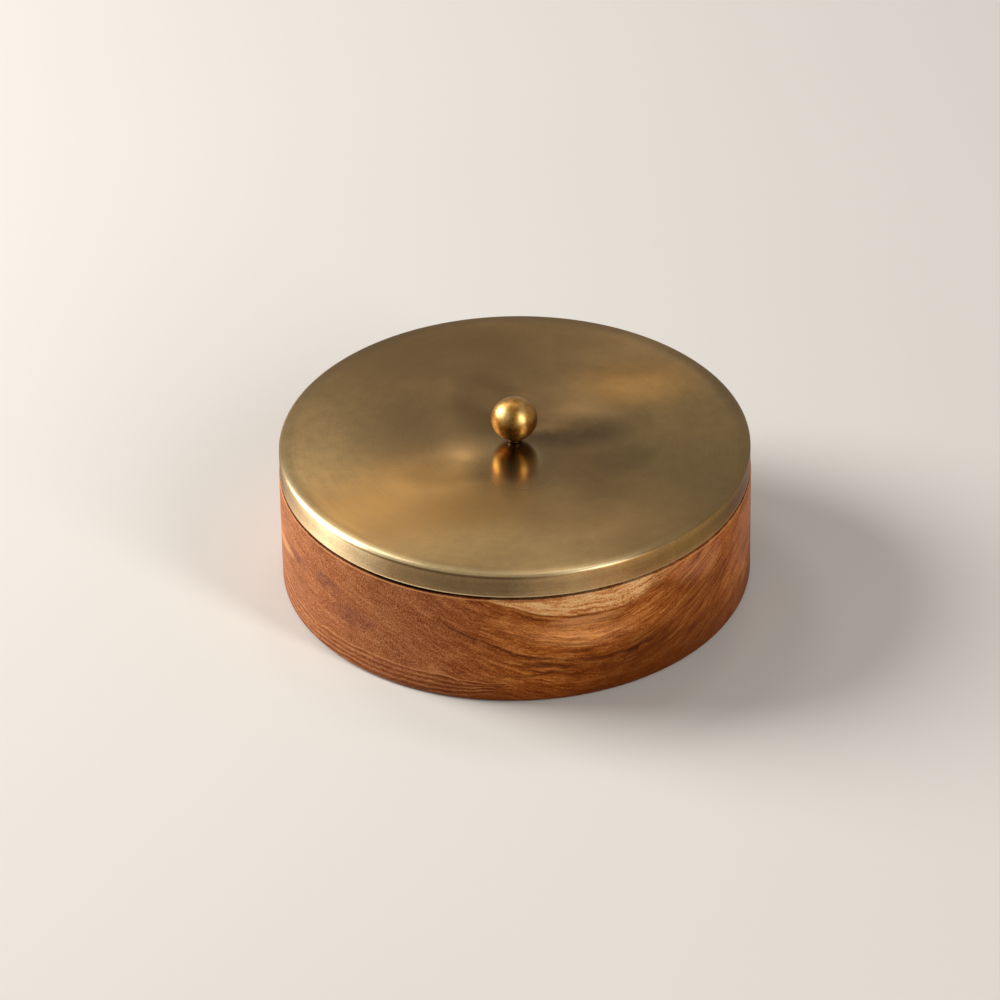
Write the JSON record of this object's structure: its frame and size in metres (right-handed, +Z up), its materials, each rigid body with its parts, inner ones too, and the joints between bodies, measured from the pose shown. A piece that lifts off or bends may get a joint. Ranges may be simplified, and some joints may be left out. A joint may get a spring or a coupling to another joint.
{
  "type": "wooden box",
  "caption": "Round turned wooden box with a flat spun brass lid that lifts off, held by a small brass ball knob.",
  "frame": {"origin": "centre of the underside, on the surface that the box stands on", "axes": "+Z up along the turning axis; the picture's camera stands on the -Y side, with +X to its right"},
  "size_m": [0.2032, 0.2032, 0.086],
  "materials": {
    "wood": "reddish-brown figured wood, oiled, semi-satin",
    "lid_brass": "aged brass, brushed in circles, satin",
    "knob_brass": "warm aged brass, soft polish",
    "fastener_brass": "plain turned brass"
  },
  "bodies": {
    "box": {"wooden_body": "wood"},
    "lid": {"lid_shell": "lid_brass", "ball_knob": "knob_brass", "knob_washer": "fastener_brass", "knob_screw": "fastener_brass"}
  },
  "joints": [
    {"name": "lid_lift", "type": "slide", "parent": "box", "child": "lid", "axis": [0, 0, 1], "range_m": [0, 0.1]}
  ]
}
